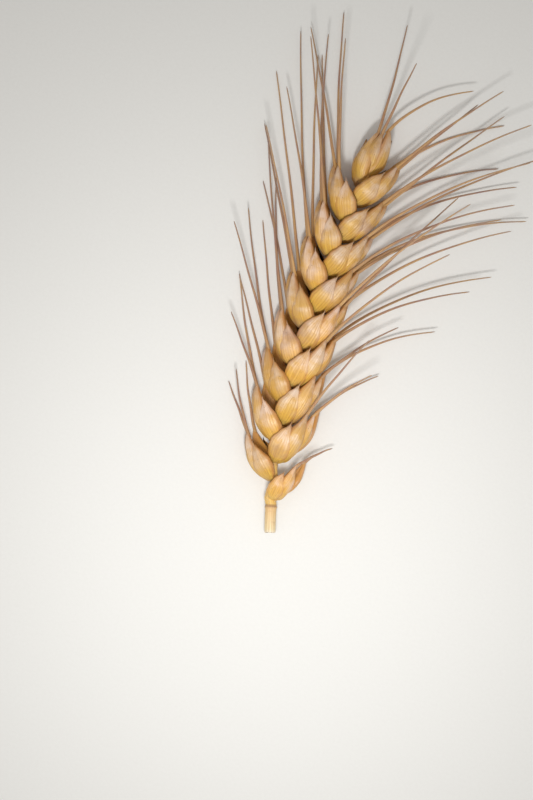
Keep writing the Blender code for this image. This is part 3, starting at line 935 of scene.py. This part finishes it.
def add_hairs(surface, offset, fine_draw):
    """Short pale hairs on the rachis's edges, thickest at the nodes."""
    corners, tips = [], []
    for index in range(SPIKELETS_IN_ROWS):
        for _ in range(HAIRS_AT_NODE):
            length = STUB_LENGTH + (index + fine_draw.gauss(0, HAIR_SPREAD_ALONG)) * INTERNODE
            shift, half_width, half_thickness = stem_shape(length)
            centre, along, row, front = axis_frame(length)
            angle = fine_draw.choice((1, -1)) * math.pi / 2 + fine_draw.gauss(0, HAIR_SPREAD_ROUND)
            outwards = row * math.cos(angle) + front * math.sin(angle)
            root = (
                centre
                + row * (shift + half_thickness * math.cos(angle))
                + front * half_width * math.sin(angle)
                - outwards * HAIR_SINK
                + offset
            )
            upwards = along * fine_draw.uniform(*HAIR_UPWARDS)
            lean = unit(outwards + upwards + row * fine_draw.uniform(-HAIR_SIDEWAYS, HAIR_SIDEWAYS))
            across = unit(np.cross(lean, along))
            other = np.cross(lean, across)
            foot = [across * math.cos(turn) + other * math.sin(turn) for turn in HAIR_CORNERS]
            corners.append([root + HAIR_RADIUS * corner for corner in foot])
            tips.append(root + lean * fine_draw.uniform(*HAIR_LENGTHS))
    shades = np.zeros((len(tips), 4))
    surface.add_spikes(np.array(corners), np.array(tips), shades, HAIR_MATERIAL)


# Materials


class Graph:
    """A material's nodes, with short calls for the ones used here."""

    def __init__(self, name):
        self.material = bpy.data.materials.new(name)
        self.material.use_nodes = True
        self.nodes = self.material.node_tree.nodes
        self.links = self.material.node_tree.links
        self.shader = self.nodes["Principled BSDF"]

    def put(self, socket, value):
        if isinstance(value, bpy.types.NodeSocket):
            self.links.new(value, socket)
        else:
            socket.default_value = value

    def shade(self):
        """Share along, share across, tone and inside share of the surface."""
        attribute = self.nodes.new("ShaderNodeAttribute")
        attribute.attribute_name = "shade"
        split = self.nodes.new("ShaderNodeSeparateColor")
        self.links.new(attribute.outputs["Color"], split.inputs[0])
        return (*split.outputs[:3], attribute.outputs["Alpha"])

    def math(self, operation, first, second=0.0):
        node = self.nodes.new("ShaderNodeMath")
        node.operation = operation
        self.put(node.inputs[0], first)
        self.put(node.inputs[1], second)
        return node.outputs[0]

    def waves(self, shares, scales):
        """A place for noise, from shares of the surface, each one stretched by its own scale."""
        node = self.nodes.new("ShaderNodeCombineXYZ")
        for socket, share, scale in zip(node.inputs, shares, scales):
            self.put(socket, self.math("MULTIPLY", share, scale))
        return node.outputs[0]

    def lines(self, share, waves):
        """Even lines along the surface."""
        return self.math("SINE", self.math("MULTIPLY", share, waves))

    def place(self):
        return self.nodes.new("ShaderNodeTexCoord").outputs["Object"]

    def noise(self, vector, scale, detail=3.0, roughness=0.55):
        node = self.nodes.new("ShaderNodeTexNoise")
        self.put(node.inputs["Vector"], vector)
        node.inputs["Scale"].default_value = scale
        node.inputs["Detail"].default_value = detail
        node.inputs["Roughness"].default_value = roughness
        return node.outputs["Fac"]

    def ramp(self, factor, *stops):
        """A colour or grey ramp from stops of a place and a colour or a value."""
        node = self.nodes.new("ShaderNodeValToRGB")
        elements = node.color_ramp.elements
        while len(elements) < len(stops):
            elements.new(0.5)
        for element, (place, colour) in zip(elements, stops):
            element.position = place
            element.color = (colour, colour, colour, 1) if isinstance(colour, float) else (*colour, 1)
        self.put(node.inputs[0], factor)
        return node.outputs[0]

    def mix(self, factor, first, second, blend="MIX"):
        node = self.nodes.new("ShaderNodeMix")
        node.data_type = "RGBA"
        node.blend_type = blend
        self.put(node.inputs[0], factor)
        for socket, value in ((node.inputs[6], first), (node.inputs[7], second)):
            self.put(socket, value if isinstance(value, bpy.types.NodeSocket) else (*value, 1))
        return node.outputs[2]

    def bump(self, height, relief):
        """Low relief, from its strength and its height."""
        node = self.nodes.new("ShaderNodeBump")
        node.inputs["Strength"].default_value, node.inputs["Distance"].default_value = relief
        self.links.new(height, node.inputs["Height"])
        self.links.new(node.outputs[0], self.shader.inputs["Normal"])

    def finish(self, colour, roughness):
        self.put(self.shader.inputs["Base Color"], colour)
        self.put(self.shader.inputs["Roughness"], roughness)
        return self.material


def husk_material():
    graph = Graph("husk_dry_straw")
    along, across, tone, inside = graph.shade()
    place = graph.place()
    flow = graph.waves((across, along, tone), HUSK_FLOW)
    streaks = graph.noise(flow, HUSK_STREAK_SCALE, 4.0)
    colour = graph.ramp(along, *HUSK_BANDS)
    colour = graph.mix(graph.ramp(streaks, (0.36, 0.0), (0.66, 0.75)), colour, HUSK_STREAK)
    fade = graph.ramp(graph.noise(place, PALE_SCALE), (0.44, 0.0), (0.66, 0.66))
    upper = graph.ramp(along, (0.2, 0.15), (0.62, 1.0))
    colour = graph.mix(graph.math("MULTIPLY", fade, upper), colour, HUSK_PALE)
    colour = graph.mix(1.0, colour, graph.ramp(tone, *HUSK_TONES), "MULTIPLY")
    edge = graph.math("ABSOLUTE", graph.math("SUBTRACT", across, 0.5))
    uneven_edge = graph.math("ADD", edge, graph.math("MULTIPLY", streaks, RIM_UNEVENNESS))
    colour = graph.mix(graph.ramp(uneven_edge, (0.40, 0.0), (0.56, 0.75)), colour, HUSK_RIM)
    nerve = graph.lines(across, HUSK_NERVE_WAVES)
    colour = graph.mix(graph.ramp(nerve, (0.60, 0.0), (1.0, 0.42)), colour, HUSK_NERVE)
    blotches = graph.ramp(graph.noise(place, BLOTCH_SCALE, 4.0), (0.56, 0.0), (0.70, 0.55))
    colour = graph.mix(blotches, colour, HUSK_BLOTCH)
    specks = graph.ramp(graph.noise(place, SPECK_SCALE, 2.0), (0.66, 0.0), (0.74, 0.65))
    colour = graph.mix(specks, colour, HUSK_SPECK)
    # Painted warm shade: the inner faces and margin slits are mixed towards the deep orange
    colour = graph.mix(graph.math("MULTIPLY", inside, 0.75), colour, HUSK_INSIDE_SHADE)
    grain = graph.noise(flow, HUSK_GRAIN_SCALE, 5.0)
    graph.bump(graph.math("ADD", graph.math("MULTIPLY", nerve, 0.35), grain), HUSK_RELIEF)
    graph.shader.inputs["Specular IOR Level"].default_value = HUSK_SHINE
    return graph.finish(colour, graph.ramp(streaks, (0.3, 0.27), (0.7, 0.42)))


def awn_material():
    graph = Graph("awn_dry_straw")
    along, across, tone, _ = graph.shade()
    patches = graph.noise(graph.waves((along, tone), AWN_FLOW), AWN_PATCH_SCALE)
    colour = graph.ramp(along, *AWN_BANDS)
    colour = graph.mix(graph.ramp(patches, (0.38, 0.0), (0.62, 0.8)), colour, AWN_STRAW)
    colour = graph.mix(1.0, colour, graph.ramp(tone, *AWN_TONES), "MULTIPLY")
    rib = graph.lines(across, AWN_RIB_WAVES)
    colour = graph.mix(graph.ramp(rib, (0.6, 0.0), (1.0, 0.25)), colour, AWN_RIB)
    graph.bump(rib, AWN_RELIEF)
    return graph.finish(colour, AWN_ROUGHNESS)


def stem_material():
    graph = Graph("stem_dry_straw")
    along, across, _, inside = graph.shade()
    place = graph.place()
    streaks = graph.noise(graph.waves((across, along), STEM_FLOW), 1.0, 4.0)
    colour = graph.ramp(along, *STEM_BANDS)
    colour = graph.mix(graph.ramp(streaks, (0.4, 0.0), (0.7, 0.55)), colour, STEM_STREAK)
    spots = graph.ramp(graph.noise(place, SPOT_SCALE, 2.0), (0.6, 0.0), (0.75, 0.4))
    colour = graph.mix(spots, colour, STEM_SPOT)
    # Painted shade inside the bore of the cut end
    colour = graph.mix(graph.math("MULTIPLY", inside, 0.7), colour, STEM_HOLLOW_SHADE)
    graph.bump(streaks, STEM_RELIEF)
    return graph.finish(colour, STEM_ROUGHNESS)


def hair_material():
    graph = Graph("hair_pale")
    place = graph.place()
    colour = graph.mix(graph.noise(place, HAIR_SCALE), HAIR_DULL, HAIR_PALE)
    return graph.finish(colour, HAIR_ROUGHNESS)


def floor_material():
    graph = Graph("paper_floor")
    place = graph.place()
    cloud = graph.noise(place, CLOUD_SCALE, 2.0)
    fibre = graph.noise(place, FIBRE_SCALE)
    colour = graph.mix(cloud, PAPER_MIDDLE, PAPER_LIGHT)
    colour = graph.mix(graph.ramp(fibre, (0.35, 0.0), (0.75, 0.35)), colour, PAPER_FIBRE)
    graph.bump(fibre, PAPER_RELIEF)
    return graph.finish(colour, PAPER_ROUGHNESS)


# Stage


def make_floor():
    data = bpy.data.meshes.new("paper")
    half = FLOOR_HALF
    corners = [(-half, -half, 0), (half, -half, 0), (half, half, 0), (-half, half, 0)]
    data.from_pydata(corners, [], [(0, 1, 2, 3)])
    data.materials.append(floor_material())
    floor = bpy.data.objects.new("paper", data)
    bpy.context.scene.collection.objects.link(floor)


def photo_place(pixel_x, pixel_y, cut_end):
    """Place on the surface under a pixel of the photograph, from the ear's cut end."""
    right = (pixel_x - CUT_END_PIXEL[0]) / PIXELS_TO_METRE
    down = (pixel_y - CUT_END_PIXEL[1]) / PIXELS_TO_METRE
    cosine, sine = math.cos(EAR_TILT), math.sin(EAR_TILT)
    x, y = right * cosine + down * sine, right * sine - down * cosine
    return Vector((cut_end[0] + x, cut_end[1] + y, 0.0))


def make_camera(cut_end):
    camera = bpy.data.cameras.new("camera")
    camera.sensor_fit = "VERTICAL"
    camera.sensor_height = SENSOR_HEIGHT
    camera.lens = CAMERA_LENS
    camera.clip_start = CLIP_START
    eye = bpy.data.objects.new("camera", camera)
    width, height = PHOTO_SIZE
    distance = height / PIXELS_TO_METRE / SENSOR_HEIGHT * CAMERA_LENS
    middle = photo_place(width / 2, height / 2, cut_end)
    eye.location = middle + Vector((0, 0, distance + VIEW_PLANE))
    eye.rotation_euler = (0, 0, EAR_TILT)
    bpy.context.scene.collection.objects.link(eye)
    bpy.context.scene.camera = eye


def make_light(name, place, target, size, watts, colour):
    light = bpy.data.lights.new(name, "AREA")
    light.shape = "DISK"
    light.size = size
    light.energy = watts
    light.color = colour
    lamp = bpy.data.objects.new(name, light)
    lamp.location = place
    lamp.rotation_euler = (Vector(target) - Vector(place)).to_track_quat("-Z", "Y").to_euler()
    bpy.context.scene.collection.objects.link(lamp)


def make_lights(cut_end):
    target = photo_place(*KEY_TARGET_PIXEL, cut_end)
    key_place = photo_place(*KEY_PIXEL, cut_end) + Vector((0, 0, KEY_HEIGHT))
    make_light("key", key_place, target, KEY_SIZE, KEY_WATTS, KEY_COLOUR)
    fill_place = photo_place(*FILL_PIXEL, cut_end) + Vector((0, 0, FILL_HEIGHT))
    make_light("fill", fill_place, target, FILL_SIZE, FILL_WATTS, FILL_COLOUR)
    world = bpy.data.worlds.new("studio")
    world.use_nodes = True
    background = world.node_tree.nodes["Background"]
    background.inputs["Color"].default_value = WORLD_COLOUR
    background.inputs["Strength"].default_value = WORLD_STRENGTH
    bpy.context.scene.world = world


def main():
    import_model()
    draw = random.Random(SEED)
    spikelets = [row_spikelet(index, draw) for index in range(SPIKELETS_IN_ROWS)]
    spikelets.append(end_spikelet(draw))
    awns = grow_awns(spikelets, draw)
    stem_low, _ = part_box("stem_and_rachis")
    own = np.array([p for section in stem_sections() for p in section_ring(*section)])
    offset = np.array(stem_low) - own.min(axis=0)
    fine_draw = random.Random(FINE_SEED)
    husk_materials = [husk_material(), awn_material()]
    for spikelet in spikelets:
        make_fine_spikelet(spikelet, awns[spikelet["name"]], offset, husk_materials, fine_draw)
    make_fine_stem(offset, [stem_material(), hair_material()], fine_draw)
    cut_end = axis_frame(0.0)[0] + offset
    make_floor()
    make_camera(cut_end)
    make_lights(cut_end)
    bpy.context.scene.view_settings.view_transform = "Standard"


main()
